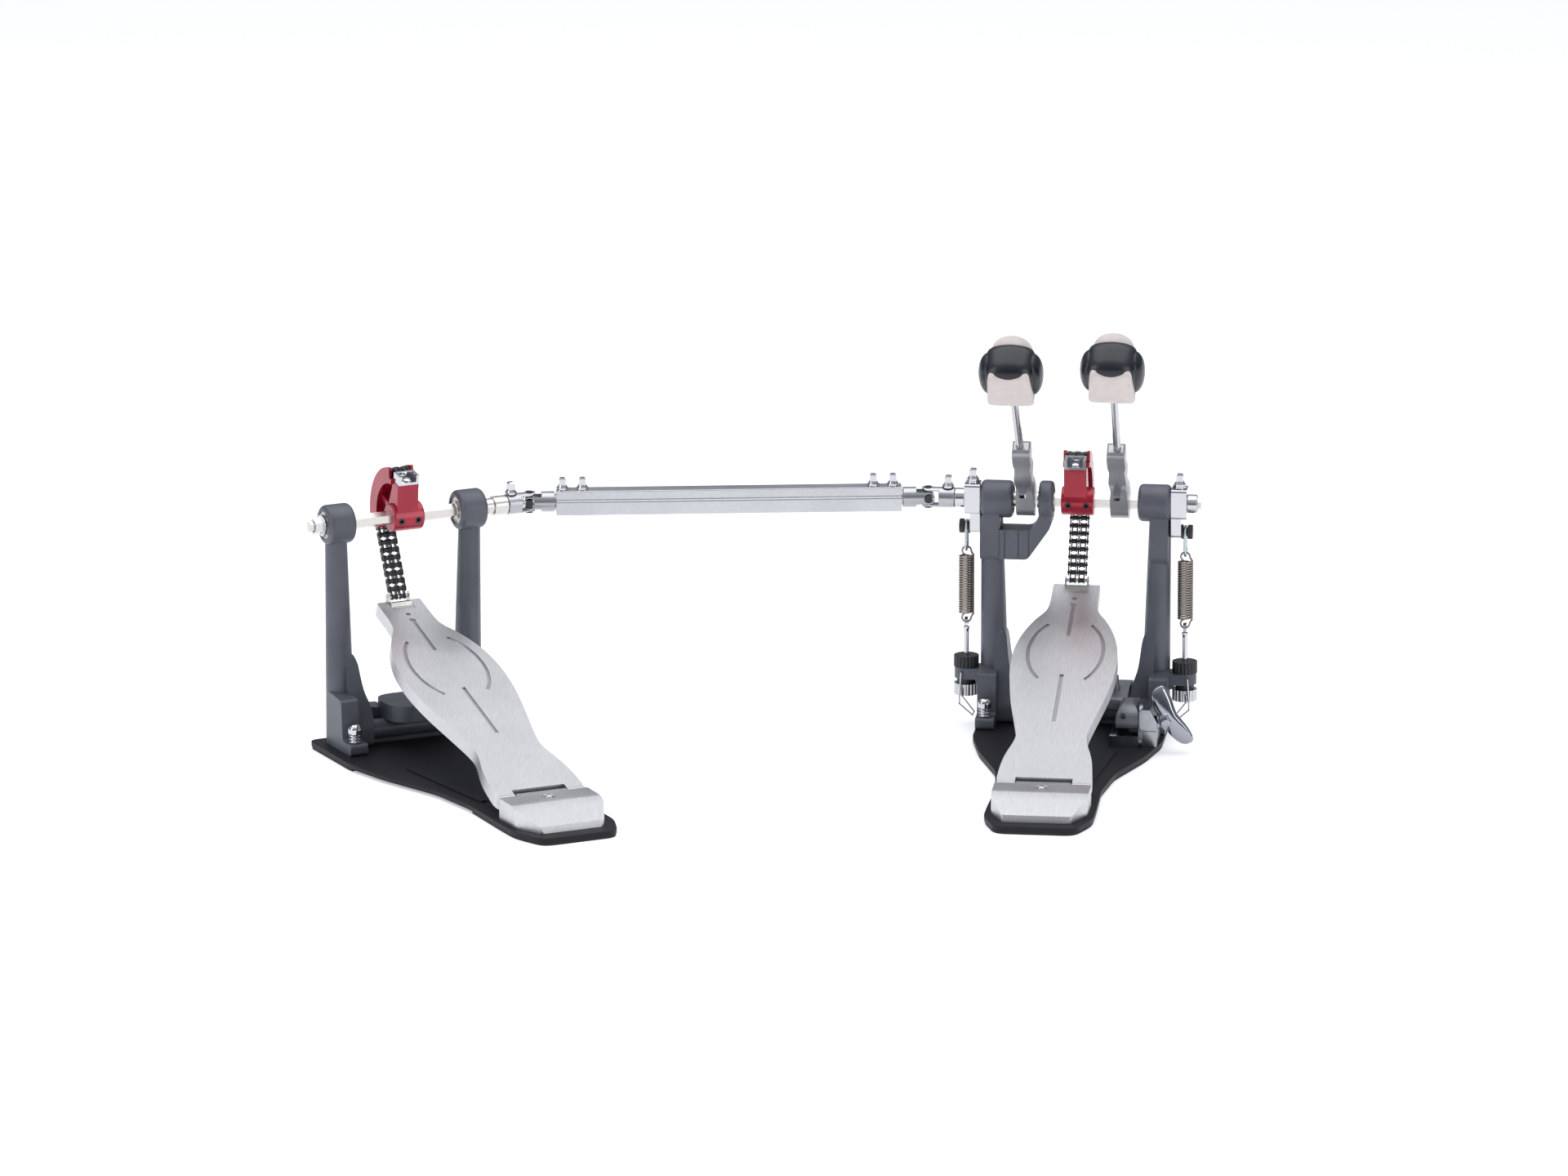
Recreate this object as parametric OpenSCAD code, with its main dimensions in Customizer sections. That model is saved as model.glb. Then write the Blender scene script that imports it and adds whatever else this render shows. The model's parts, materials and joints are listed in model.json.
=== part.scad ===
// Twin bass drum pedal: a main pedal with two beaters, a slave pedal, and the jointed shaft
// between them. Origin on the floor under the main pedal's shaft, +Y towards the drum, +Z up.

/* [Frames] */
// Height of both pedals' shafts above the floor
axle_z = 185; // [180:1:190]
// Half the width of the main pedal over its bearing hubs
right_half = 76; // [74:0.5:78]
// Half the width of the slave pedal over its bearing hubs
left_half = 68.6; // [66:0.2:70]
// Diameter of a bearing hub
hub_d = 30; // [28:0.5:32]
// Length of the main pedal's bearing hubs along the shaft
hub_len = 26; // [24:0.5:28]
// Length of the slave pedal's bearing hubs
left_hub_len = 23; // [19:0.5:24]
// Slave pedal's centre across the main pedal's width
left_x = -526; // [-540:0.2:-500]
// Slave pedal's centre along the drum direction
left_y = -112.1; // [-130:0.1:-100]
// Angle that the slave pedal is turned inwards
left_yaw = 32.15; // [25:0.05:36]

/* [Footboards] */
// Distance of the heel hinge in front of the shaft
heel_y = -261.4; // [-270:0.2:-255]
// Height of the heel hinge pin
heel_z = 18; // [17:0.5:19]
// Length of the footboard from hinge pin to toe
board_len = 287.5; // [284:0.5:289]
// Slope of the footboard at rest
board_tilt = 18.47; // [17:0.05:20]
// Depth of the footboard's side flanges
flange_h = 11; // [9:0.5:12]

/* [Shafts and beaters] */
// Width across the flats of the hexagonal shafts
hex_af = 10; // [9:0.1:10.5]
// Radius of the round shaft journals inside the bearings
journal_r = 6.45; // [6.3:0.01:6.48]
// Tilt of the two beaters towards the drummer
beater_tilt = 39; // [30:0.5:45]
// Distance from the shaft to the middle of the right beater's head
right_head_r = 172; // [160:1:180]
// Distance from the shaft to the middle of the centre beater's head
centre_head_r = 165; // [160:1:180]
// Diameter of a beater rod
rod_d = 6.4; // [6:0.1:7]

/* [Chain and cam] */
// Pitch of the double roller chain
pitch = 6.35; // [6.3:0.01:6.4]
// Radius of the chain's centre line on the cam
cam_r = 38; // [37.5:0.1:38.5]
// Angle of the first chain joint that lies on the cam, from the drum direction
tangent_a = -25.2; // [-26:0.1:-24.5]
// Links hanging straight between footboard and cam
run_links = 9; // [9:2:9]

/* [Springs] */
// Distance of the return springs' axes from the middle of the main pedal
spring_x = 87.6; // [87.2:0.1:88]
// Distance of a spring roller below the shaft
roller_drop = 23; // [22:0.5:24]

/* [Drive shaft] */
// Distance from the main pedal's middle to the nearer universal joint
u_near = 118.6; // [117:0.1:120]
// Distance from the slave pedal's middle to its universal joint
u_far = 110.3; // [109:0.1:111]

/* [Hidden] */
$fn = 48;

slate = [0.32, 0.34, 0.38];
bright = [0.80, 0.80, 0.80];
dark = [0.09, 0.09, 0.10];
cam_red = [0.64, 0.07, 0.17];
felt_white = [0.85, 0.81, 0.79];
bearing_r = 11;                       // outer radius of the shaft bearings
bearing_bore = journal_r + 0.05;      // a running fit on the journals
gap = 0.5;                            // clearance between parts that turn past each other
bolt_bore = 2.55;                     // holes of the square-headed bolts, whose shanks have radius 2.5
plate_top = 6;                        // top of the base plates
pad_top = 2.2;                        // top of the rubber under them
step_a = 2 * asin(pitch / 2 / cam_r); // cam angle taken by one link
bend_links = 3;                       // links in each of the two groups that leave the cam
wrap_links = 6;                       // links that stay on the cam
toe_y = 10;                           // the chain's lowest pin, along the drum direction
toe_z = axle_z - 68;                  // and its height
cam_x = 1.6;                          // middle of cam and chain across the pedal
right_beater_x = 35.4;
centre_beater_x = -40;
arm_x = -23.5;                        // middle of the outboard arm's upright
left_foot_half = left_half - 2;        // the slave pedal's posts stand a little inside its hubs' ends
lever_in = right_half + gap;          // inner face of a spring lever
lever_out = lever_in + 12.4;          // its outer face
collar_out = lever_out + 8;           // outer face of the collar beside it
yoke_r = 8.2;                         // radius of the universal joint forks
ear_t = 2.6;                          // thickness of their ears
cross_r = 3.15;                       // radius of the universal joint pins
u1 = [-u_near, 0];
u2 = [left_x + u_far * cos(left_yaw), left_y + u_far * sin(left_yaw)];
drive_len = norm(u2 - u1);
drive_yaw = 180 + atan((u2 - u1).y / (u2 - u1).x);

// ---------------------------------------------------------------- helpers
function unit(v) = v / norm(v);
// A smooth bend that replaces corner q between p and s, starting r before it.
function bend(p, q, s, r, n) =
    let (a = q + min(r, norm(p - q) / 2.02) * unit(p - q), b = q + min(r, norm(s - q) / 2.02) * unit(s - q))
    [for (i = [0:n]) let (t = i / n) (1 - t) * (1 - t) * a + 2 * t * (1 - t) * q + t * t * b];
function smooth(pts, r, n = 5) =
    let (m = len(pts))
    [for (i = [0:m - 1]) each bend(pts[(i + m - 1) % m], pts[i], pts[(i + 1) % m], r, n)];
function mirrored(half) = concat(half, [for (i = [len(half) - 1:-1:0]) [-half[i].x, half[i].y]]);
function arc(r, a0, a1, n = 10) = [for (i = [0:n]) let (a = a0 + (a1 - a0) * i / n) r * [cos(a), sin(a)]];
// Chain joint k on the cam; the last joints sink towards the anchor
function on_cam(k) = let (a = tangent_a + k * step_a, r = cam_r - 0.09 * pow(max(0, k - 7), 2))
    r * [cos(a), sin(a)] + [0, axle_z];

module at_left() translate([left_x, left_y, 0]) rotate([0, 0, left_yaw]) children();
module at_axle() translate([0, 0, axle_z]) children();
module at_drive() translate([u1.x, u1.y, axle_z]) rotate([0, 0, drive_yaw]) children();
// Both sides of the main pedal
module both() for (s = [0, 1]) mirror([s, 0, 0]) children();
module xrod(x0, x1, r) translate([x0, 0, 0]) rotate([0, 90, 0]) cylinder(h = x1 - x0, r = r);
module xhex(x0, x1, af) translate([x0, 0, 0]) rotate([0, 90, 0]) cylinder(h = x1 - x0, d = af / cos(30),
    $fn = 6);
// An extrusion along X of an outline given in Y and Z
module along_x(x0, x1) translate([x0, 0, 0]) rotate([90, 0, 90]) linear_extrude(x1 - x0) children();
// An extrusion along Y of an outline given in X and Z
module along_y(y0, y1) translate([0, y1, 0]) rotate([90, 0, 0]) linear_extrude(y1 - y0) children();
// A drum along X with rounded rims
module drum(x0, x1, r, e) translate([x0, 0, 0]) rotate([0, 90, 0]) rotate_extrude()
    polygon(concat([[0, 0]], [for (p = arc(e, -90, 0, 5)) p + [r - e, e]],
        [for (p = arc(e, 0, 90, 5)) p + [r - e, x1 - x0 - e]], [[0, x1 - x0]]));
module rounded_box(size, r) linear_extrude(size.z) polygon(smooth([[0, 0], [size.x, 0], [size.x, size.y],
    [0, size.y]], r));
// Square-headed bolt with a flared collar, standing on z = 0, its shank going down
module key_bolt(shank) {
    translate([0, 0, -shank]) cylinder(h = shank + 0.5, r = 2.5);
    cylinder(h = 1.6, r = 4.9);
    translate([0, 0, 1.6]) cylinder(h = 2.2, r1 = 4.4, r2 = 3.3);
    translate([-2.7, -2.7, 3.4]) cube([5.4, 5.4, 5.2]);
    translate([0, 0, 8.6]) rotate([0, 0, 45]) cylinder(h = 1.2, r1 = 3.82, r2 = 2.6, $fn = 4);
}
// Round-headed screw with a slot, head upwards
module pan_screw(r, shank) {
    translate([0, 0, -shank]) cylinder(h = shank, r = r * 0.5);
    difference() {
        rotate_extrude() polygon(concat([[0, 0]], [for (p = arc(r, 0, 90, 8)) [p.x, p.y * 0.55]]));
        translate([-r, -0.5, r * 0.25]) cube([2 * r, 1, r]);
    }
}

// ---------------------------------------------------------------- base
plate_half = [[77, 17], [77, -66], [68, -109], [48.5, -168], [42.5, -219], [44, -276], [44, -305],
    [33, -335]];
module base_outline(extra) polygon(smooth(mirrored([for (p = plate_half)
    p + [extra - 77 + right_half, 0]]), 9));

module base_plate(half) difference() {
    union() {
        translate([0, 0, pad_top]) linear_extrude(plate_top - pad_top) base_outline(0);
        // pressed stiffening ribs
        both() translate([24, -215, plate_top - 0.1]) rotate([0, 0, -6]) rounded_box([7, 118, 1.3], 3.4);
    }
    heel_screw_places() cylinder(h = 9, r = 2.2);
    spur_places(half) cylinder(h = 9, r = spur_bore);
}
module base_plates() color(dark) {
    union() {
        base_plate(right_half);
        // lip under the hoop clamp's jaw
        translate([jaw_arm[0] - 3, 9, pad_top]) rounded_box([24, 23, plate_top - pad_top], 3);
    }
    at_left() base_plate(left_foot_half);
}
module base_pads() color([0.05, 0.05, 0.05]) {
    difference() {
        linear_extrude(pad_top) base_outline(-0.8);
        spur_places(right_half) cylinder(h = 9, r = spur_bore, center = true);
    }
    at_left() difference() {
        intersection() {
            linear_extrude(pad_top) base_outline(-0.8);
            for (y = [[-340, -222], [-66, 30]]) translate([-90, y[0], -1]) cube([180, y[1] - y[0], 5]);
        }
        spur_places(left_foot_half) cylinder(h = 9, r = spur_bore, center = true);
    }
}
// The two anchor spurs stand in front of the posts, the heel plate's screws near its front
spur_in = 7;                          // distance of a spur's axis inside the post's outer face
spur_y = -38;
spur_bore = 2.6;
heel_screw_r = 2.15;
module spur_places(half) both() translate([-half + spur_in, spur_y, 0]) children();
module heel_screw_places() both() translate([20, -300, 0]) children();

// ---------------------------------------------------------------- posts and bars
foot_w = 30;                          // width of a post's foot
foot_high = 80;                       // where the foot's inner side runs into the round column
column_low = 11.8;                    // radius of the column at its foot
column_high = 8.7;                    // and inside the hub
// Front outline of the foot's inner side; x = 0 is the post's outer face
module foot_front() polygon(smooth([[column_low, foot_high], [column_low, plate_top - 7],
    [foot_w, plate_top - 7], [foot_w, 37], [24.5, 50], [21, foot_high]], 9));
module foot_side() polygon(smooth([[9, foot_high], [11, 50], [14, 20], [14, plate_top],
    [-24, plate_top], [-24, 24], [-17, 48], [-9, foot_high]], 5));
// Post whose outer face is at -foot_half and whose hub, of length len, ends at -half
module post(half, foot_half, len, d, padded) difference() {
    union() {
        translate([-foot_half, 0, 0]) {
            intersection() {
                along_y(-50, 20) foot_front();
                along_x(-1, foot_w + 1) foot_side();
                translate([column_low, 0, 0]) cylinder(h = foot_high, r1 = 60, r2 = 9.5);
            }
            // round column whose outer side stands upright
            translate([column_low, 0, plate_top - 1]) rotate([0, -atan((column_low - column_high) / 168), 0])
                cylinder(h = 168, r1 = column_low, r2 = column_high);
            // foot block, low in front under the spur and taller behind it
            along_x(0, 15) polygon(smooth([[-46, plate_top], [-46, 15], [-30, 15], [-27, 47], [0, 50],
                [0, plate_top]], 3));
            // flat-faced pad below the hub
            if (padded) along_x(1.6, 15.4) polygon(smooth([[0, 176], [-11.4, 176], [-11.4, 141],
                [-8.4, 136.5], [0, 136.5]], 2));
        }
        at_axle() drum(-half, -half + len, d / 2, 3.8);
    }
    at_axle() xrod(-half - 1, -half + len + 1, bearing_r);
    translate([-foot_half + spur_in, spur_y, 0]) cylinder(h = 30, r = spur_bore);
    translate([-foot_half - 5, -60, plate_top - 20]) cube([60, 90, 20]);
}
// Bracket on a post's outer side that the spring adjuster stands in
module adjuster_lug() difference() {
    translate([-spring_x, 0, 37.5]) union() {
        linear_extrude(9) polygon(concat(arc(9.5, 90, 270), [[spring_x - right_half + 1, -9.5],
            [spring_x - right_half + 1, 9.5]]));
        translate([spring_x - right_half - 3.2, -6, -4]) cube([4.2, 12, 4]);
    }
    translate([-spring_x, 0, 30]) cylinder(h = 20, r = 2.3);
    // hole that the wire clip hooks into
    translate([-spring_x - 3, -6, clip_path[0].y]) rotate([90, 0, 0]) cylinder(h = 5, r = 0.8, $fn = 20);
}
module right_posts() color(slate) difference() {
    union() {
        both() {
            post(right_half, right_half, hub_len, hub_d, true);
            adjuster_lug();
        }
        // block that the outboard arm is fixed to
        along_x(-right_half, -right_half + 16) polygon(smooth([[-12, 141], [-9, 137], [9, 137], [12, 141],
            [11.5, 173], [-11.5, 173]], 2));
    }
    // flat seat of the outboard arm on the left post
    translate([-right_half + 15, -20, arm_low - 1]) cube([4, 40, arm_high - arm_low + 2]);
}
module left_posts() color(slate) at_left() both() post(left_half, left_foot_half, left_hub_len, hub_d + 1.9,
    false);

// Bar that ties the two feet together, high beside the posts, with a tube along its front
module cross_bar(half) {
    along_y(-5, 14) polygon(smooth(mirrored([[half - foot_w - 0.02, plate_top], [half - foot_w - 0.02, 36],
        [half - foot_w - 8, 32.5], [half - 50, 32], [half - 50, 25]]), 3));
    translate([0, -13.5, 17.5]) xrod(-half + foot_w + 0.02, half - foot_w - 0.02, 8);
    // web between bar and tube
    along_x(-half + foot_w + 0.02, half - foot_w - 0.02) polygon([[-14, plate_top], [-4, plate_top],
        [-4, 20], [-14, 20]]);
}
module right_cross_bar() color(slate) difference() {
    cross_bar(right_half);
    // room for the clamp's arm, which passes over the bar
    translate([jaw_arm[0] - 1, -30, 20.5]) cube([right_half - foot_w - jaw_arm[0] + 1.1, 60, 30]);
}
module left_cross_bar() color(slate) at_left() {
    cross_bar(left_foot_half);
    // rounded cover over the middle of the bar
    translate([-24, -36, 25.5]) rounded_box([56, 46, 13], 18);
}

arm_low = 138;                        // bottom and top of the outboard arm's level part
arm_high = 162;
module outboard_arm() color(slate) difference() {
    union() {
        // level foot on the post, a diagonal, and the upright that holds the shaft's end
        along_y(-11, 11) polygon(concat([[-right_half + 15, arm_low]], bend([-60, arm_low], [-38, arm_low],
            [-19, 166], 3, 4),
            bend([-38, arm_low], [-18.6, 166], [-18.6, axle_z], 6, 4), [[-18.6, axle_z], [-29, axle_z]],
            bend([-29, axle_z], [-29, 172], [-35, arm_high], 4, 4), bend([-29, 172], [-35, arm_high],
                [-60, arm_high], 4, 4),
            [[-right_half + 15, arm_high]]));
        at_axle() drum(-29.4, -17.9, 15.5, 3);
    }
    at_axle() xrod(-40, -10, 9.5);
    // shallow grooves that mark off the arm's foot and its middle panel
    for (x = [-56.6, -45.6, -37.4]) translate([x, -12, arm_low - 1]) cube([0.9, 1.8, arm_high - arm_low + 2]);
}

module shaft_bearings() color([0.7, 0.7, 0.72]) {
    both() for (x = [-right_half + 0.6, -right_half + hub_len - 8]) bearing(x, 7, bearing_r);
    bearing(arm_x - 5, 10, 9.5);
    at_left() both() for (x = [-left_half + 0.6, -left_half + left_hub_len - 8]) bearing(x, 7, bearing_r);
}
module bearing(x, w, r) at_axle() difference() {
    xrod(x, x + w, r);
    xrod(x - 1, x + w + 1, bearing_bore);
    // groove between the races, on both faces
    for (f = [x - 1, x + w - 0.6]) difference() {
        xrod(f, f + 1.6, r - 1.6);
        xrod(f - 1, f + 3, bearing_bore + 1);
    }
}

// ---------------------------------------------------------------- heel plate and footboard
heel_front = -321;
module heel_plate() difference() {
    union() {
        intersection() {
            along_x(-50, 50) polygon([[heel_y - 3, plate_top], [heel_y - 3, heel_z + 5],
                [heel_y - 26, heel_z + 4.6],
                [heel_y - 29, heel_z + 4], [heel_front + 1, 11.5], [heel_front, plate_top]]);
            linear_extrude(60) polygon(smooth(mirrored([[38, heel_y - 3], [38, -296], [27, heel_front]]), 3));
        }
        // tongue round the hinge pin
        translate([0, heel_y, heel_z]) xrod(-21.5, 21.5, 5);
        translate([-21.5, heel_y - 6, plate_top]) cube([43, 5, heel_z - plate_top + 5]);
    }
    translate([0, heel_y, heel_z]) xrod(-60, 60, 2.5);
    // clearance for the footboard's ends, which turn beside the tongue
    both() translate([22, heel_y, heel_z]) xrod(0, 20, 6.6);
    translate([0, -277, 0]) cylinder(h = 40, r = 3);
    translate([0, -277, heel_z + 2.2]) cylinder(h = 3.4, r1 = 3, r2 = 6.6);
    heel_screw_places() cylinder(h = 9, r = heel_screw_r + 0.05);
}
module heel_plates() color(bright) {
    heel_plate();
    at_left() heel_plate();
}

// Half width of the footboard at points along its length from the hinge pin
board_half = [[37.8, -5], [36.8, 18], [34.5, 38], [27.5, 62], [28.5, 76], [33.5, 103], [39.5, 135],
    [42.5, 165],
    [41.5, 193], [36.5, 215], [29, 234], [21.5, 246], [19, 255], [18.8, board_len - 4],
    [18.8, board_len], [14.8, board_len]];
module board_outline(inset) polygon(smooth(mirrored([for (p = board_half) [p.x - inset, p.y]]), 14, 4));
// Everything on the footboard: y along it from the hinge pin, z above the pin
module on_board() translate([0, heel_y, heel_z]) rotate([board_tilt, 0, 0]) children();
board_top = 4.8;

module half_ring(rx, ry, w, a0, a1) polygon(concat(
    [for (i = [0:14]) let (a = a0 + (a1 - a0) * i / 14) [rx * cos(a), ry * sin(a)]],
    [for (i = [14:-1:0]) let (a = a0 + (a1 - a0) * i / 14) [(rx - w) * cos(a), (ry - w) * sin(a)]]));
module footboard() on_board() difference() {
    union() {
        difference() {
            translate([0, 0, board_top - flange_h]) linear_extrude(flange_h) board_outline(0);
            // hollow under the board
            translate([0, 0, board_top - 4 - flange_h]) linear_extrude(flange_h) intersection() {
                board_outline(3.6);
                translate([-60, 12]) square([120, board_len - 24]);
            }
        }
        both() xrod(22.6, 36.8, 5);
    }
    // heel cut-out for the tongue, and the pin's bore
    translate([-22.5, -30, -20]) cube([45, 37.5, 40]);
    xrod(-60, 60, 2.55);
    // heel end rounded about the pin
    difference() {
        translate([-60, -30, -20]) cube([120, 30, 60]);
        xrod(-61, 61, 6.2);
    }
    // toe slot for the chain clevis, between two prongs, and the holes behind it
    translate([-slot_half, board_len - slot_len, -20]) cube([2 * slot_half, 30, 40]);
    translate([0, board_len - slot_len - 8, -10]) cylinder(h = 30, r = 1.9);
    translate([0, slot_dot, board_top - groove]) cylinder(h = 5, r = 2.6);
    // pressed grooves
    translate([-1.5, 212, board_top - groove]) cube([3, slot_dot - 212, 5]);
    translate([-1.6, 88, board_top - groove]) cube([3.2, 68, 5]);
    translate([0, 188, board_top - groove]) linear_extrude(5) {
        half_ring(31.4, 50.4, 3, -52, 55);
        half_ring(31.4, 50.4, 3, 125, 232);
    }
}
slot_half = 9.9;                      // half width and length of the toe slot
slot_len = 12.5;
slot_dot = board_len - slot_len - 17; // the round end of the groove behind it
groove = 1.3;                         // depth of the pressed grooves
module right_footboard() color(bright) footboard();
module left_footboard() color(bright) at_left() footboard();

// Hinge plate at the toe that holds the chain's lowest pin
module toe_clevis() {
    on_board() translate([-slot_half + 0.1, board_len - slot_len + 0.1, board_top - 7]) difference() {
        cube([2 * slot_half - 0.2, 14, 6.8]);
        // room for the chain's first plates
        translate([1.7, 7.6, -1]) cube([16.2, 10, 10]);
    }
    both() along_x(8.3, slot_half - 0.4) polygon(concat([[toe_y - 6, toe_z - 11], [toe_y + 3.2, toe_z - 11]],
        [for (p = arc(3.2, 0, 180, 8)) p + [toe_y, toe_z]]));
    // front leaf that rises to the chain's lowest rollers
    along_x(-9, 9) polygon([[toe_y - 9, toe_z - 10], [toe_y - 4, toe_z - 10], [toe_y - 3.4, toe_z - 3],
        [toe_y - 6.4, toe_z - 3]]);
    translate([0, toe_y, toe_z]) xrod(-slot_half + 0.2, slot_half - 0.2, 1.5);
}
module right_toe_clevis() color([0.7, 0.69, 0.65]) toe_clevis();
module left_toe_clevis() color([0.7, 0.69, 0.65]) at_left() toe_clevis();

// ---------------------------------------------------------------- chain
chain_dir = unit(on_cam(0) - [toe_y, toe_z]);
// Joint k of the chain: along the straight run, then round the cam
function chain_joint(k) = k < run_links ? [toe_y, toe_z] + chain_dir * norm(on_cam(0) - [toe_y, toe_z])
    * k / run_links
    : on_cam(k - run_links);
// Plates of one link lie at these distances from the middle; even links are the inner ones
function plate_rows(k) = k % 2 == 0 ? [-5.5, -1.5, 1.5, 5.5] : [-7.05, 0, 7.05];
plate_t = 0.9;
pin_r = 1.1;
module link_plate(a, b) {
    d = b - a;
    t = atan2(d.y, d.x);
    polygon(concat([for (p = arc(2.6, t + 90, t + 270, 8)) p + a],
        [(a + b) / 2 + 1.9 * [cos(t - 90), sin(t - 90)]],
        [for (p = arc(2.6, t - 90, t + 90, 8)) p + b], [(a + b) / 2 + 1.9 * [cos(t + 90), sin(t + 90)]]));
}
// Links first to last; free_first and free_last say which end joints are bored, open or pinned
module chain(first, last, bored, open) translate([cam_x - 1.6, 0, 0]) difference() {
    union() {
        for (k = [first:last]) {
            for (x = plate_rows(k)) along_x(x - plate_t / 2, x + plate_t / 2)
                link_plate(chain_joint(k), chain_joint(k + 1));
            for (j = [k, k + 1]) translate([0, chain_joint(j).x, chain_joint(j).y]) {
                // inner links carry the rollers, outer links the pins
                if (k % 2 == 0) both() xrod(1.5, 5.5, 1.9);
                else if (j != open) xrod(-8, 8, pin_r);
                else both() xrod(6.9, 8, pin_r);
            }
        }
    }
    for (j = bored) translate([0, chain_joint(j).x, chain_joint(j).y]) xrod(-10, 10, j == 0 ? 1.55 :
        pin_r + 0.05);
}
last_a = run_links + bend_links;
last_b = last_a + bend_links;
module chain_run() chain(0, run_links - 1, [0, run_links], -1);
module chain_bend_a() chain(run_links, last_a - 1, [], -1);
module chain_bend_b() chain(last_a, last_b - 1, [last_a], -1);
module chain_wrap() chain(last_b, last_b + wrap_links - 1, [], last_b);
module right_chain_run() color(dark) chain_run();
module right_chain_bend_a() color(dark) chain_bend_a();
module right_chain_bend_b() color(dark) chain_bend_b();
module right_chain_wrap() color(dark) chain_wrap();
module left_chain_run() color(dark) at_left() chain_run();
module left_chain_bend_a() color(dark) at_left() chain_bend_a();
module left_chain_bend_b() color(dark) at_left() chain_bend_b();
module left_chain_wrap() color(dark) at_left() chain_wrap();

// ---------------------------------------------------------------- cam
rim_r = 31.6;
flange_r = 40.2;                      // outer radius of the flanges beside the chain
flange_in = 8.35;
flange_out = 10.6;
cap_low = 30;                         // radius that the chain's anchor cap sits at
cap_a = tangent_a + (2 * bend_links + wrap_links + 1) * step_a + 2;
module sector(r0, r1, a0, a1) polygon(concat(arc(r1, a0, a1, 20), arc(r0, a1, a0, 20)));
module cam() at_axle() difference() {
    union() {
        translate([cam_x, 0, 0]) drum(-13, 13, 11.4, 1.2);
        along_x(-flange_out, flange_out) sector(27.4, rim_r, -29, cap_a - 9);
        // flanges that the chain runs between
        both() along_x(flange_in, flange_out) sector(27.4, flange_r, -8, cap_a - 15);
        // spokes, and the broad arm under the chain's anchor
        for (a = [-24, 24]) along_x(-6.5, 6.5) rotate(a) translate([8, -2.4]) square([21, 4.8]);
        along_x(-9, 9) rotate(cap_a) polygon([[6, -9.5], [24, -5], [cap_low, -5], [cap_low, 6], [24, 6],
            [6, 9]]);
    }
    xhex(-30, 30, hex_af + 0.1);
    both_screws() translate([0, 0, 5]) cylinder(h = 20, r = 2.7);
}
// The two clamp screws lie side by side on the drummer's side
module both_screws() for (x = [-7.2, 7.2]) translate([cam_x + x, 0, 0]) rotate([98, 0, 0]) children();
module set_screw(top) difference() {
    translate([0, 0, 5.9]) cylinder(h = top - 5.9, r = 2.65);
    translate([0, 0, top - 2.5]) cylinder(h = 4, d = 2.9, $fn = 6);
}
module chain_cap() at_axle() rotate([cap_a - 90, 0, 0]) translate([0, 0, cap_low + 0.05]) {
    difference() {
        translate([-8.6, -6.5, 0]) cube([17.2, 10.9, 7.6]);
        translate([-6.2, -7, 2]) cube([12.4, 10, 7]);
    }
    translate([0, -1.8, 2]) pan_screw(4, 0.5);
}
module right_cam() color(cam_red) cam();
module left_cam() color(cam_red) at_left() cam();

// ---------------------------------------------------------------- shafts, levers and screws
// Clamp lever of the right spring, with its notch for the roller
module spring_lever() at_axle() difference() {
    union() {
        along_x(lever_in, lever_out) polygon(smooth([[-9.5, 13], [-9.5, -11], [9.5, -11], [9.5, 13]], 2.5));
        along_x(lever_in, lever_in + 8) polygon(smooth([[-8.5, -8], [-7, -27], [7, -27], [8.5, -8]], 3));
        translate([lever_in + 6.2, 0, 13]) cylinder(h = 1.6, r = 5.4);
    }
    xrod(lever_in - 1, lever_out + 1, 6);
    translate([0, 0, -roller_drop]) xrod(lever_in - 1, lever_in + 9, 2.5);
    translate([lever_in + 6.2, 0, 6]) cylinder(h = 20, r = bolt_bore);
    // clamp slit
    translate([lever_in - 1, -0.6, 4]) cube([15, 1.2, 20]);
}
roller_in = lever_in + 8.1;
groove_x = spring_x;
module spring_roller() at_axle() translate([0, 0, -roller_drop]) {
    xrod(roller_in, groove_x - 1.7, 5.8);
    xrod(groove_x - 1.7, groove_x + 1.7, 3.3);
    drum(groove_x + 1.7, groove_x + 5.8, 5.8, 0.8);
    xrod(lever_in + 0.4, roller_in + 1, 2.45);
}
module right_spring_lever() color(bright) spring_lever();
module centre_spring_lever() color(bright) mirror([1, 0, 0]) spring_lever();
module right_spring_roller() color(dark) spring_roller();
module centre_spring_roller() color(dark) mirror([1, 0, 0]) spring_roller();

module right_hex_shaft() color([0.78, 0.76, 0.74]) at_axle() {
    xrod(arm_x - 7.5, -17.4, journal_r);
    xhex(-17.5, right_half - hub_len + 0.2, hex_af);
    xrod(right_half - hub_len - 0.2, right_half + 0.2, journal_r);
    xrod(right_half + 0.1, collar_out + 0.4, 5.95);
    xhex(collar_out + 0.3, collar_out + 3, 8);
}
module left_hex_shaft() color([0.78, 0.76, 0.74]) at_left() at_axle() {
    xhex(-left_half - 12.5, -left_half - 0.3, 8);
    xrod(-left_half - 0.5, -left_half + left_hub_len + 0.2, journal_r);
    xhex(-left_half + left_hub_len, left_half - left_hub_len, hex_af);
    xrod(left_half - left_hub_len - 0.2, left_half + 9, journal_r);
    drum(left_half + 8.9, u_far - 20.6, 7.7, 0.6);
    xrod(u_far - 21, u_far - 12.6, 4.95);
}
module centre_shaft() color([0.78, 0.76, 0.74]) at_axle() {
    xrod(-right_half - 0.2, -right_half + hub_len + 0.2, journal_r);
    xrod(-collar_out - 0.1, -right_half - 0.1, 5.95);
    xrod(-right_half - 28, -collar_out, 4.95);
    xrod(-right_half + hub_len + 0.1, centre_beater_x + 7.6, 5.95);
}

// ---------------------------------------------------------------- beaters
// Local frame of a beater: z along the rod, y towards the drum
module at_beater(x) translate([x, 0, axle_z]) rotate([beater_tilt, 0, 0]) children();
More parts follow.
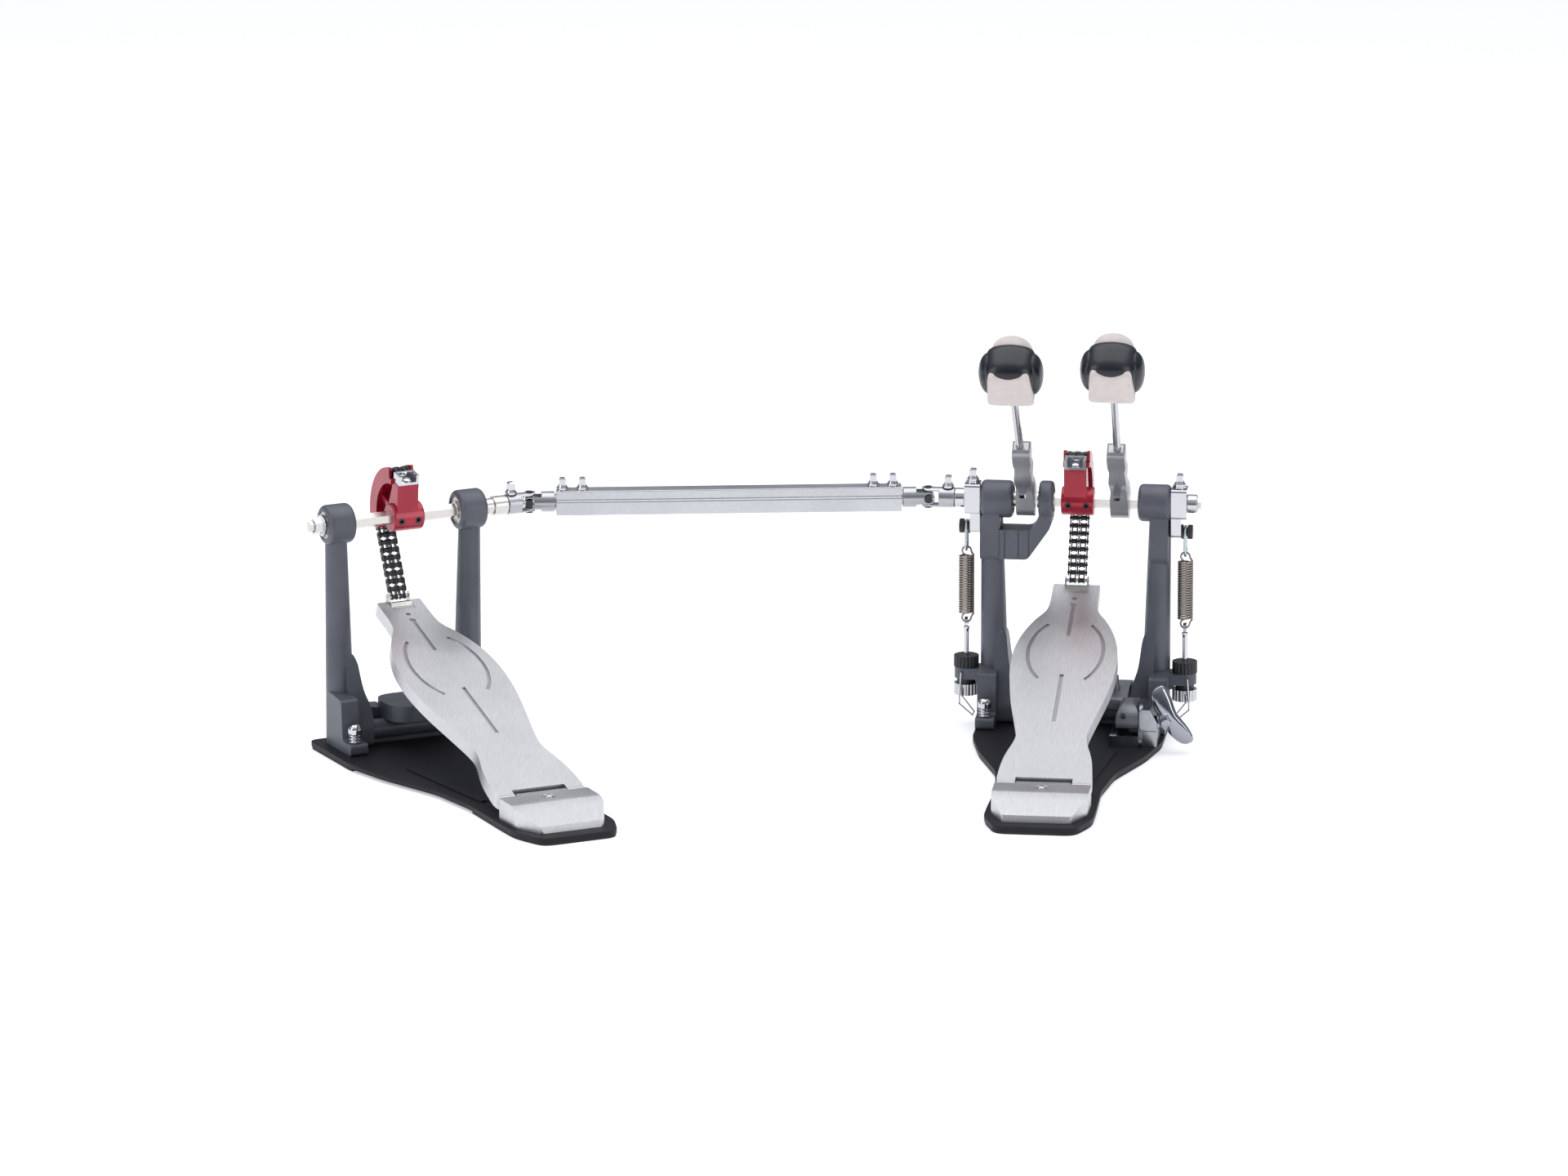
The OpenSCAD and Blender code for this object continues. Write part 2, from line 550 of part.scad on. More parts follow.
// The rods lean apart by this angle
splay = 0.9;
module at_rod(x) at_beater(x) rotate([0, sign(x) * splay, 0]) children();
clamp_top = 70;
module beater_clamp(bore, lean) difference() {
    intersection() {
        along_x(-7.2, 7.2) polygon(smooth(concat(arc(13, 160, 380, 16), [[7.5, 24], [10, 36], [7.6, 50],
            [7.6, clamp_top], [-7.6, clamp_top], [-7.6, 50], [-10, 36], [-7.5, 24]]), 6));
        along_y(-20, 20) polygon(smooth(mirrored([[7.2, -14], [7.2, 14], [6.1, 23], [7.2, 36], [6, 49],
            [7.2, 53],
            [7.2, clamp_top]]), 2.5));
    }
    bore_cut(bore);
    rotate([0, lean, 0]) translate([0, 0, 22]) cylinder(h = 60, d = rod_d + 0.1);
    translate([0, -20, 30]) rotate([-90, 0, 0]) cylinder(h = 20, r = bolt_bore);
    rotate([180, 0, 0]) translate([0, 0, 4]) cylinder(h = 12, r = 2.3);
}
module bore_cut(bore) if (bore == "hex") rotate([-beater_tilt, 0, 0]) xhex(-10, 10, hex_af + 0.1);
    else xrod(-10, 10, 6);
module beater_rod(reach) translate([0, 0, 24]) cylinder(h = reach - 24 + 8, d = rod_d);
// Head: a black core whose cheeks and top stand between two felt pads
core_w = 51;
module head_core(reach) translate([0, 0, reach]) difference() {
    union() {
        // cheeks on both sides, joined by a broad band
        intersection() {
            along_y(-17, 19) polygon(smooth(mirrored([[17, -19], [22, -15], [core_w / 2, 2], [24, 14],
                [18, 20]]), 5));
            along_x(-30, 30) polygon(smooth([[-14, -21], [-16, 0], [-13, 17], [-6, 22], [8, 22], [15, 16],
                [18, 0], [15, -21]], 7));
        }
    }
    // the felt pads' seats
    translate([-18, -30, -30]) cube([36, 20, 46]);
    translate([-17, 10.5, -30]) cube([34, 20, 46]);
    translate([0, 0, -40]) cylinder(h = 48.1, d = rod_d + 0.1);
}
module head_felt(reach) translate([0, 0, reach]) {
    along_y(-17, -10.1) polygon(smooth(mirrored([[17.9, -20], [15.5, 15.9]]), 3));
    translate([0, 10.6, -2]) rotate([-90, 0, 0]) rotate_extrude()
        polygon(concat([[0, 0], [16.9, 0]], [for (i = [0:8]) let (a = i * 11.25) [16.9 * cos(a),
            3 + 12 * sin(a)]]));
}
module right_beater_clamp() color([0.55, 0.56, 0.58]) at_beater(right_beater_x) beater_clamp("hex", splay);
module centre_beater_clamp() color([0.55, 0.56, 0.58]) at_beater(centre_beater_x) beater_clamp("round",
    -splay);
module right_beater_rod() color(bright) at_rod(right_beater_x) beater_rod(right_head_r);
module centre_beater_rod() color(bright) at_rod(centre_beater_x) beater_rod(centre_head_r);
module right_beater_core() color(dark) at_rod(right_beater_x) head_core(right_head_r);
module centre_beater_core() color(dark) at_rod(centre_beater_x) head_core(centre_head_r);
module right_beater_felt() color(felt_white) at_rod(right_beater_x) head_felt(right_head_r);
module centre_beater_felt() color(felt_white) at_rod(centre_beater_x) head_felt(centre_head_r);

// Square-headed bolt that pinches a beater rod, and the bolt in the top of a spring lever
module rod_bolt(x) at_beater(x) translate([0, -10.1, 30]) rotate([90, 0, 0]) {
    translate([0, 0, -6.4]) cylinder(h = 7, r = 2.5);
    translate([-2.8, -2.8, 0]) cube([5.6, 5.6, 9]);
    translate([0, 0, 9]) rotate([0, 0, 45]) cylinder(h = 1.2, r1 = 3.9, r2 = 2.8, $fn = 4);
}
module lever_bolt() at_axle() translate([lever_in + 6.2, 0, 14.65]) key_bolt(8);

module right_cap_and_screws() color(bright) {
    chain_cap();
    at_axle() both_screws() set_screw(11.2);
    rod_bolt(right_beater_x);
    lever_bolt();
    at_axle() difference() {
        drum(lever_out + 0.2, collar_out, 7.6, 0.6);
        xrod(lever_out, collar_out + 1, 5.96);
    }
}
module centre_axle_screws() color(bright) {
    rod_bolt(centre_beater_x);
    mirror([1, 0, 0]) lever_bolt();
    at_axle() {
        translate([-u_near - yoke_bolt, 0, yoke_r + 0.1]) key_bolt(3);
        difference() {
            drum(-collar_out, -lever_out - 0.2, 7.85, 0.6);
            xrod(-collar_out - 1, -lever_out, 5.96);
        }
    }
}
module left_cap_and_screws() color(bright) at_left() {
    chain_cap();
    at_axle() {
        both_screws() set_screw(11.2);
        // nut and washer on the shaft's outer end
        difference() {
            union() {
                translate([-left_half - 9, 0, 0]) rotate([0, 90, 0]) cylinder(h = 7, d = 14, $fn = 6);
                xrod(-left_half - 2.1, -left_half - 0.6, 8.6);
            }
            xrod(-left_half - 12, -left_half + 1, 4.7);
        }
        translate([u_far + yoke_bolt, 0, yoke_r + 0.1]) key_bolt(3);
    }
}

// ---------------------------------------------------------------- universal joints and drive shaft
// Fork whose ears point along +X and reach past the joint's centre at x = 0
yoke_bolt = -16;                      // a fork's clamping bolt, along its shaft
module fork(root, base, pin_bore, bolted) {
    difference() {
        union() {
            difference() {
                drum(-root, -base, yoke_r, 0.6);
                xrod(-root - 1, -root + 8, 5);
            }
            intersection() {
                xrod(-base - 1, 5.4, yoke_r);
                union() {
                    for (s = [-1, 1]) translate([-base - 1, -4.9, s > 0 ? yoke_r - ear_t : -yoke_r])
                        cube([base + 1, 9.8, ear_t]);
                    for (s = [-1, 1]) translate([0, 0, s > 0 ? yoke_r - ear_t : -yoke_r])
                        cylinder(h = ear_t, r = 4.9);
                }
            }
        }
        cylinder(h = 30, r = pin_bore, center = true);
        if (bolted) translate([yoke_bolt, 0, 0]) cylinder(h = 12, r = bolt_bore);
        // hollow between the ears
        rotate([0, 90, 0]) translate([0, 0, -base - 0.2]) cylinder(h = 5, r = 5.4);
    }
}
// Pins through both forks; those in the drive shaft's fork lie along y
module joint_cross(reach) {
    cylinder(h = 2 * reach, r = cross_r - 0.05, center = true);
    rotate([90, 0, 0]) cylinder(h = 2 * reach, r = cross_r - 0.05, center = true);
}
module centre_yoke() color([0.7, 0.7, 0.72]) at_axle() translate([-u_near, 0, 0]) mirror([1, 0, 0])
    fork(u_near - collar_out - 0.2, 8.8, cross_r, true);
module left_yoke() color([0.7, 0.7, 0.72]) at_left() at_axle() translate([u_far, 0, 0])
    fork(20.4, 8.8, cross_r, true);
module centre_cross() color(dark) at_drive() joint_cross(yoke_r + 0.4);
module left_cross() color(dark) at_drive() translate([drive_len, 0, 0]) joint_cross(yoke_r + 0.4);

module drive_yokes() color([0.68, 0.69, 0.71]) at_drive() {
    mirror([1, 0, 0]) drive_fork(cross_r + 0.55);
    translate([drive_len, 0, 0]) drive_fork(cross_r + 1.15);
}
module drive_fork(bore) {
    rotate([90, 0, 0]) fork(20.4, 9.6, bore, false);
    xrod(-62, -20.3, 5.9);
}
tube_gap = 21.5;
module drive_tube() color([0.75, 0.76, 0.77]) at_drive() difference() {
    along_x(tube_gap, drive_len - tube_gap) polygon(smooth(
        [[-8.6, -9.8], [8.6, -9.8], [8.6, 1.2], [7.3, 2.4], [7.3, 9.8], [-7.3, 9.8], [-7.3, 2.4],
            [-8.6, 1.2]], 0.8, 3));
    xrod(0, drive_len, 6);
    for (x = bolt_places) translate([x, 0, 0]) cylinder(h = 30, r = bolt_bore);
}
bolt_places = [28.3, 44, drive_len - 42.5, drive_len - 26.5];
module drive_clamp_bolts() color(bright) at_drive()
    for (x = bolt_places) translate([x, 0, 9.85]) key_bolt(3.8);

// ---------------------------------------------------------------- springs and their adjusters
coil_low = 90;
coil_high = 138;
coil_r = 6.4;
// A spring's end loop, a ring that faces the drummer
module eye(r, wire) rotate([90, 0, 0]) rotate_extrude() translate([r, 0]) circle(r = wire, $fn = 16);
module spring() translate([spring_x, 0, 0]) {
    difference() {
        translate([0, 0, coil_low]) cylinder(h = coil_high - coil_low, r = coil_r);
        translate([0, 0, coil_low + 1.4]) cylinder(h = coil_high - coil_low - 2.8, r = coil_r - 1.5);
    }
    translate([0, 0, coil_low - 3.2]) eye(3.6, 0.7);
    translate([0, 0, coil_high + 3.2]) eye(3.6, 0.7);
}
link_top = axle_z - roller_drop + 3.3 + 0.1;
link_half = 4.9;
// Long wire link from the roller down to the spring's upper loop
module spring_link() translate([groove_x, 0, 0]) {
    straight = link_top - link_half - (coil_high + 6.9 - 1.2 + link_half);
    for (y = [-1, 1]) translate([0, y * (link_half + 1.1), link_top - link_half - straight])
        cylinder(h = straight, r = 1.1, $fn = 20);
    for (e = [0, 1]) translate([0, 0, link_top - link_half - e * straight]) rotate([e * 180, 0, 0])
        rotate([90, 0, 90]) rotate_extrude(angle = 180) translate([link_half + 1.1, 0])
            circle(r = 1.1, $fn = 20);
}
module right_spring() color([0.5, 0.46, 0.44]) spring();
module centre_spring() color([0.5, 0.46, 0.44]) mirror([1, 0, 0]) spring();
module right_spring_link() color([0.7, 0.75, 0.76]) spring_link();
module centre_spring_link() color([0.7, 0.75, 0.76]) mirror([1, 0, 0]) spring_link();

knob_low = 46.5;
// Knurled disc: a drum with shallow flutes all round
module knurled(h, r, n) difference() {
    cylinder(h = h, r = r);
    for (i = [0:n - 1]) rotate([0, 0, i * 360 / n]) translate([r + 0.5, 0, 0])
        cylinder(h = 3 * h, r = 1.1, center = true, $fn = 14);
}
module adjuster_knobs() color(dark) both() translate([-spring_x, 0, 0]) {
    difference() {
        translate([0, 0, knob_low]) knurled(9.4, 10, 20);
        translate([0, 0, knob_low - 1]) cylinder(h = 20, r = 2.1);
    }
    difference() {
        translate([0, 0, 33.2]) cylinder(h = 4.3, r = 7.5);
        translate([0, 0, 30]) cylinder(h = 20, r = 2.1);
    }
}
module spring_adjusters() color(bright) both() translate([-spring_x, 0, 0]) {
    difference() {
        translate([0, 0, 24]) knurled(9.2, 10, 22);
        translate([0, 0, 20]) cylinder(h = 20, r = 2.1);
    }
    // eye bolt with its flattened eye under the spring's lower loop
    translate([0, 0, 22]) cylinder(h = 53, r = 2.05);
    translate([0, 0, 75]) cylinder(h = 4, r1 = 2.05, r2 = 2.6);
    translate([0, 0, 80]) rotate([0, 0, 90]) eye_plate();
    wire_clip();
}
module eye_plate() difference() {
    union() {
        translate([0, 1.3, 2.8]) rotate([90, 0, 0]) cylinder(h = 2.6, r = 4.4);
        translate([-2.6, -1.3, -2]) cube([5.2, 2.6, 4]);
    }
    translate([0, 0, 3]) rotate([90, 0, 0]) cylinder(h = 10, r = 2.1, center = true);
}
clip_path = [[0, 43], [-1.5, 24], [-1.5, 18], [9, 9], [10.4, 12], [1, 24], [0.6, 30]];
// Bent wire clip that hangs from a hole in the bracket, in front of the lower nut
module wire_clip() translate([-3, -11.3, 0]) {
    translate([0, 0, clip_path[0].y]) rotate([-90, 0, 0]) cylinder(h = 3.2, r = 0.74, $fn = 16);
    for (i = [0:len(clip_path) - 2]) {
        a = clip_path[i];
        b = clip_path[i + 1];
        t = atan2(b.x - a.x, b.y - a.y);
        translate([a.x, 0, a.y]) {
            rotate([0, t, 0]) cylinder(h = norm(b - a), r = 0.7, $fn = 16);
            sphere(r = 0.78, $fn = 16);
        }
    }
}

// ---------------------------------------------------------------- small fittings of the frames
module spur() {
    translate([0, 0, 1]) cylinder(h = 24, r = 2.5);
    translate([0, 0, 0.1]) cylinder(h = 1, r1 = 0.6, r2 = 2.5);
    // three turns of the little spring under the head, on its sleeve
    translate([0, 0, 15.1]) cylinder(h = 8, r = 3.5);
    for (z = [16.1, 18.7, 21.3]) translate([0, 0, z]) rotate_extrude() translate([4, 0])
        circle(r = 0.9, $fn = 14);
    translate([0, 0, 23]) difference() {
        union() {
            cylinder(h = 3, r = 5.4);
            translate([0, 0, 3]) rotate_extrude() polygon(concat([[0, 0]],
                [for (p = arc(5.4, 0, 90, 8)) [p.x, p.y * 0.85]]));
        }
        translate([-6, -0.6, 5.6]) cube([12, 1.2, 6]);
    }
}
module anchor_spurs() color(bright) {
    spur_places(right_half) spur();
    at_left() spur_places(left_foot_half) spur();
}
module pedal_fasteners() {
    // hinge pin through tongue and footboard, and the screw in the heel plate
    translate([0, heel_y, heel_z]) xrod(-36.9, 36.9, 2.5);
    translate([0, -277, heel_z + 2.3]) cylinder(h = 2.2, r1 = 2.95, r2 = 5.2);
    translate([0, -277, plate_top]) cylinder(h = heel_z + 2.4 - plate_top, r = 2.95);
    translate([0, -277, heel_z + 4.4]) pan_screw(3.4, 0.5);
    heel_screw_places() translate([0, 0, pad_top]) cylinder(h = 6, r = heel_screw_r);
}
module frame_fasteners() color([0.62, 0.62, 0.62]) {
    pedal_fasteners();
    at_left() pedal_fasteners();
    // the clamp jaw's pivot pin
    translate([0, jaw_y, jaw_z]) xrod(40.2, 70, 2.5);
}

// ---------------------------------------------------------------- hoop clamp
jaw_y = -56;                          // the jaw's pivot
jaw_z = 28;
jaw_head = [40, 58];                  // across the jaw's head, and across its arm
jaw_arm = [27, 45.4];
wing_tilt = 30;                       // slope of the wing bolt
module at_wing() translate([59.5, -76, 16]) rotate([0, -wing_tilt, 0]) children();
module hoop_clamp_base() color([0.4, 0.41, 0.44]) difference() {
    union() {
        // low block under the jaw's head, with a sloping front
        along_x(35.5, 60) polygon([[-86, plate_top], [-86, 15], [-83, 16], [-50, 15], [-50, plate_top]]);
        // cheek beside the head, and the tall block that the wing bolt goes through
        along_x(jaw_head[1] + 0.4, 61) polygon(smooth([[-88, plate_top], [-88, 14], [-78, 38], [-52, 39],
            [-48, 30], [-48, plate_top]], 5));
        along_y(-85, -49) polygon(smooth([[59, plate_top], [73, plate_top], [73, 29], [69, 36.5],
            [59, 36.5]], 2.5));
    }
    // the wing bolt's hole, and its slanting seat
    at_wing() xrod(0, 40, 4.2);
    at_wing() translate([17, -20, -30]) cube([40, 60, 80]);
    translate([0, jaw_y, jaw_z]) xrod(20, 80, 2.55);
    // shallow groove across the tall block
    translate([61.5, -86, 19]) cube([20, 2, 1.2]);
}
module hoop_clamp_jaw() color([0.36, 0.38, 0.42]) {
    difference() {
        union() {
            intersection() {
                along_x(jaw_head[0], jaw_head[1]) polygon(smooth([[-84, 20], [-83, 32], [-74, 39], [-56, 39],
                    [-44, 36], [-44, 24], [-56, 19.5]], 5));
                along_y(-90, -40) polygon(smooth([[40, 18], [40, 32], [45, 39.5], [53, 39.5], [58, 34],
                    [58, 18]], 4));
            }
            along_x(jaw_arm[0], jaw_arm[1]) polygon(smooth([[-47.5, 24], [-47.5, 35], [-20, 39], [12, 36],
                [24, 31],
                [27, 17], [16, 17], [13, 26], [-20, 28]], 4));
            // adjusting screw that stands in the arm
            translate([34, -26, 36]) cylinder(h = 5, r = 4.4);
            translate([34, -26, 40]) cylinder(h = 9, r = 3.2);
        }
        translate([0, jaw_y, jaw_z]) xrod(20, 80, 2.6);
        // socket in the head's front
        translate([45.5, -78, 30.5]) rotate([90, 0, 0]) cylinder(h = 10, r = 2.4);
    }
}
module wing_bolt() color(bright) at_wing() {
    xrod(1, 18.5, 3.4);
    drum(17.2, 27, 7.5, 1.2);
    // two blades, thin at the tips, standing across the bolt
    along_y(-3.6, 3.6) polygon(smooth([[18, -6], [21, -13], [21.5, -22], [26, -25], [31, -21], [31.5, -6],
        [30.5, 6],
        [34, 17], [31, 25], [25, 24], [19.5, 13], [18, 6]], 5));
}

base_plates();
base_pads();
right_posts();
left_posts();
right_cross_bar();
left_cross_bar();
outboard_arm();
heel_plates();
frame_fasteners();
shaft_bearings();
adjuster_knobs();
spring_adjusters();
anchor_spurs();
hoop_clamp_base();
hoop_clamp_jaw();
wing_bolt();
right_footboard();
left_footboard();
right_toe_clevis();
left_toe_clevis();
right_chain_run();
right_chain_bend_a();
right_chain_bend_b();
right_chain_wrap();
left_chain_run();
left_chain_bend_a();
left_chain_bend_b();
left_chain_wrap();
right_hex_shaft();
right_cam();
right_cap_and_screws();
right_beater_clamp();
right_beater_rod();
right_beater_core();
right_beater_felt();
right_spring_lever();
right_spring_roller();
centre_shaft();
centre_beater_clamp();
centre_beater_rod();
centre_beater_core();
centre_beater_felt();
centre_spring_lever();
centre_spring_roller();
centre_axle_screws();
centre_yoke();
centre_cross();
right_spring();
right_spring_link();
centre_spring();
centre_spring_link();
drive_tube();
drive_yokes();
drive_clamp_bolts();
left_hex_shaft();
left_cam();
left_cap_and_screws();
left_yoke();
left_cross();
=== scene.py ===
"""Looks of the twin bass drum pedal: finishes, wire springs, beater heads, wing bolt, studio and camera.

Everything is in metres in the frame's axes; mm() and MM bring in millimetres of the real object.
"""
import json
import math

import bmesh
import bpy
from mathutils import Matrix, Vector


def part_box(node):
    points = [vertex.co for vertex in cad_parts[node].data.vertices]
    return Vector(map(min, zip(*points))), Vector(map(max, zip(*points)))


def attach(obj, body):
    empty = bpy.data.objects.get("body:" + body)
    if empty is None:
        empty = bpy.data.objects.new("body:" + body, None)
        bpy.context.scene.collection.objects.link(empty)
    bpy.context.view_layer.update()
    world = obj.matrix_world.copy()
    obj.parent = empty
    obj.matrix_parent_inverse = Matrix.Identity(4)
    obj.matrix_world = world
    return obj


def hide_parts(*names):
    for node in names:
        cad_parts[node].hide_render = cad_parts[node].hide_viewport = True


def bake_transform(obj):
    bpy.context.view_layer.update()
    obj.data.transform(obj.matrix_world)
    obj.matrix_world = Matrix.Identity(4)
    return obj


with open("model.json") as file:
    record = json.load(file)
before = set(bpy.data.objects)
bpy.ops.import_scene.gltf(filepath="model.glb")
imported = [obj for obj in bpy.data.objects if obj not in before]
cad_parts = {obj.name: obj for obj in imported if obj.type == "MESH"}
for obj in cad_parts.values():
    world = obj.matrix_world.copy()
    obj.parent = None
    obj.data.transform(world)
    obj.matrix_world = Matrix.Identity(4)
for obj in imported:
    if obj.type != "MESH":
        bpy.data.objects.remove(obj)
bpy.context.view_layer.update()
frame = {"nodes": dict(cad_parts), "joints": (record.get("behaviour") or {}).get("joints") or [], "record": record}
nodes = frame["nodes"]
slot_of = {part["node"]: part["material_slot"] for part in frame["record"]["subparts"]}
joints = {joint["name"]: joint for joint in frame["joints"]}

MM = 0.001
board_axis = joints["left_treadle_hinge"]["axis"]
SLAVE_YAW = math.atan2(-board_axis[1], -board_axis[0])    # the slave pedal's turn on the floor
BEATER_TILT = math.radians(39)                            # lean of the beaters towards the drummer
BOARD_TILT = math.radians(18.47)                          # slope of the footboards at rest
ROD_SPLAY = math.radians(0.9)                             # lean of the two beater rods away from each other


def mm(x, y, z):
    """A place or a size given in millimetres."""
    return Vector((x, y, z)) * MM


# ---------------------------------------------------------------- camera, light and floor
CAMERA_PLACE = (1.024, -10.898, 2.910)
CAMERA_TILT = math.radians(75.664)        # from looking straight down
CAMERA_YAW = math.radians(6.587)
CAMERA_LENS = 325                         # mm, on a sensor 36 mm wide

MIDDLE = (-0.25, -0.05, 0.1)              # of the object, where the side lights point
LIGHTS = {                                # place, target, width and length, watts
    "overhead": ((-0.25, 0.2, 2.4), (-0.25, 0.2, 0), (3.4, 2.4), 40),
    "left": ((-2.0, -1.3, 0.9), MIDDLE, (0.5, 1.5), 9),
    "right": ((1.7, -1.5, 0.8), MIDDLE, (0.4, 1.4), 7),
}
HORIZON, ZENITH = (0.10, 0.11, 0.13), (0.80, 0.83, 0.90)
WORLD_STRENGTH = 0.75
FLOOR_HALF = 30
FLOOR_GLOW = 0.42                         # lifts the paper to the near-white of the photograph


def camera():
    """A long lens at the photograph's angle, turned a little left of the drum direction."""
    data = bpy.data.cameras.new("camera")
    data.lens = CAMERA_LENS
    data.sensor_width = 36
    data.clip_start, data.clip_end = 0.1, 60
    cam = bpy.data.objects.new("camera", data)
    cam.location = CAMERA_PLACE
    cam.rotation_euler = (CAMERA_TILT, 0, CAMERA_YAW)
    bpy.context.scene.collection.objects.link(cam)
    bpy.context.scene.camera = cam


def area_light(name, place, target, size, power):
    data = bpy.data.lights.new(name, "AREA")
    data.shape = "RECTANGLE"
    data.size, data.size_y = size
    data.energy = power
    lamp = bpy.data.objects.new(name, data)
    lamp.location = place
    lamp.rotation_euler = (Vector(target) - Vector(place)).to_track_quat("-Z", "Y").to_euler()
    bpy.context.scene.collection.objects.link(lamp)


def sky():
    """Dim round the horizon and bright overhead, so that metal shows dark and light bands."""
    world = bpy.data.worlds.new("studio")
    world.use_nodes = True
    tree = world.node_tree
    place = tree.nodes.new("ShaderNodeTexCoord")
    split = tree.nodes.new("ShaderNodeSeparateXYZ")
    tree.links.new(place.outputs["Generated"], split.inputs["Vector"])
    height = spread(tree, split.outputs["Z"], 0.0, 1.0, 0.02, 0.75)
    background = tree.nodes["Background"]
    tree.links.new(mix_colour(tree, height, HORIZON, ZENITH), background.inputs["Color"])
    background.inputs["Strength"].default_value = WORLD_STRENGTH
    bpy.context.scene.world = world


def paper_floor():
    mesh = bpy.data.meshes.new("floor")
    corners = [(x * FLOOR_HALF, y * FLOOR_HALF, 0) for x, y in ((-1, -1), (1, -1), (1, 1), (-1, 1))]
    mesh.from_pydata(corners, [], [(0, 1, 2, 3)])
    floor = bpy.data.objects.new("floor", mesh)
    bpy.context.scene.collection.objects.link(floor)
    m, shader, tree = new_material("floor_paper", (0.86, 0.86, 0.86), 0.9)
    shader.inputs["Emission Color"].default_value = (0.97, 0.98, 1, 1)
    shader.inputs["Emission Strength"].default_value = FLOOR_GLOW
    mesh.materials.append(m)


def studio():
    sky()
    for name, setting in LIGHTS.items():
        area_light(name, *setting)
    bpy.context.scene.view_settings.view_transform = "Standard"
    paper_floor()


# ---------------------------------------------------------------- shader nodes
def new_material(name, colour, roughness, metallic=0.0):
    m = bpy.data.materials.new(name)
    m.use_nodes = True
    shader = m.node_tree.nodes["Principled BSDF"]
    shader.inputs["Base Color"].default_value = (*colour, 1)
    shader.inputs["Roughness"].default_value = roughness
    shader.inputs["Metallic"].default_value = metallic
    return m, shader, m.node_tree


def add(tree, kind, **values):
    """A new node; values set its inputs by name, with spaces written as underscores."""
    node = tree.nodes.new(kind)
    for key, value in values.items():
        node.inputs[key.replace("_", " ")].default_value = value
    return node


def object_point(tree, scale, yaw):
    """Object coordinates in metres, scaled along each axis and turned about z."""
    place = tree.nodes.new("ShaderNodeTexCoord")
    mapping = add(tree, "ShaderNodeMapping", Scale=scale, Rotation=(0, 0, yaw))
    tree.links.new(place.outputs["Object"], mapping.inputs["Vector"])
    return mapping.outputs["Vector"]


def noise(tree, scale, detail=3.0, rough=0.55, stretch=(1, 1, 1), yaw=0):
    """Noise with so many cells to the metre, times the stretch along each axis."""
    node = add(tree, "ShaderNodeTexNoise", Scale=scale, Detail=detail, Roughness=rough)
    tree.links.new(object_point(tree, stretch, yaw), node.inputs["Vector"])
    return node.outputs["Fac"]


def spread(tree, source, low, high, start=0.3, end=0.7):
    """Maps start..end of a source to low..high."""
    node = add(tree, "ShaderNodeMapRange", From_Min=start, From_Max=end, To_Min=low, To_Max=high)
    tree.links.new(source, node.inputs["Value"])
    return node.outputs["Result"]


def mix_colour(tree, source, first, second):
    node = tree.nodes.new("ShaderNodeMix")
    node.data_type = "RGBA"
    tree.links.new(source, node.inputs[0])
    node.inputs[6].default_value = (*first, 1)
    node.inputs[7].default_value = (*second, 1)
    return node.outputs[2]


def shade(colour, factor):
    return tuple(min(1, c * factor) for c in colour)


def vary_colour(tree, shader, source, first, second):
    tree.links.new(mix_colour(tree, source, first, second), shader.inputs["Base Color"])


def vary_roughness(tree, shader, source, low, high):
    tree.links.new(spread(tree, source, low, high), shader.inputs["Roughness"])


def bump(tree, shader, source, strength, height_mm):
    node = add(tree, "ShaderNodeBump", Strength=strength, Distance=height_mm * MM)
    tree.links.new(source, node.inputs["Height"])
    tree.links.new(node.outputs["Normal"], shader.inputs["Normal"])


# ---------------------------------------------------------------- materials
def cast_paint(name, colour, roughness, grain, metallic=0.0, specular=0.5):
    """Satin coat over a casting: fine orange peel and broad, faint patches."""
    m, shader, tree = new_material(name, colour, roughness, metallic)
    shader.inputs["Specular IOR Level"].default_value = specular
    peel = noise(tree, 2600, 2)
    patches = spread(tree, noise(tree, 28), 0, 1)
    vary_colour(tree, shader, patches, shade(colour, 0.86), shade(colour, 1.22))
    vary_roughness(tree, shader, peel, roughness - 0.06, roughness + 0.1)
    bump(tree, shader, peel, grain, 0.06)
    return m


def brushed(name, colour, roughness, scratches, yaw=0, strength=0.12):
    """Metal with fine scratches; scratches is the number of noise cells to the metre along each axis."""
    m, shader, tree = new_material(name, colour, roughness, 1.0)
    lines = noise(tree, 1.0, 4, 0.65, scratches, yaw)
    clouds = noise(tree, 22, 2)
    vary_colour(tree, shader, spread(tree, lines, 0, 1, 0.3, 0.75), shade(colour, 0.88), shade(colour, 1.08))
    vary_roughness(tree, shader, clouds, roughness - 0.03, roughness + 0.06)
    bump(tree, shader, lines, strength, 0.04)
    return m


def chrome(name, colour, roughness):
    """Plating with a faint haze and a slight waviness."""
    m, shader, tree = new_material(name, colour, roughness, 1.0)
    vary_roughness(tree, shader, noise(tree, 160), roughness - 0.03, roughness + 0.07)
    bump(tree, shader, noise(tree, 420, 2), 0.04, 0.04)
    return m


def black_plastic(name, colour, roughness):
    """Moulded plastic or rubber with a fine texture."""
    m, shader, tree = new_material(name, colour, roughness)
    fine = noise(tree, 1800, 2)
    patches = spread(tree, noise(tree, 60), 0, 1)
    vary_roughness(tree, shader, fine, roughness - 0.06, roughness + 0.08)
    vary_colour(tree, shader, patches, shade(colour, 0.8), shade(colour, 1.3))
    bump(tree, shader, fine, 0.12, 0.05)
    return m


def felt(name, colour):
    """Dense wool with a matt nap."""
    m, shader, tree = new_material(name, colour, 0.95)
    shader.inputs["Sheen Weight"].default_value = 0.35
    shader.inputs["Sheen Roughness"].default_value = 0.5
    patches = spread(tree, noise(tree, 130), 0, 1)
    vary_colour(tree, shader, patches, shade(colour, 0.9), colour)
    bump(tree, shader, noise(tree, 1500, 5, 0.7), 0.5, 0.3)
    return m


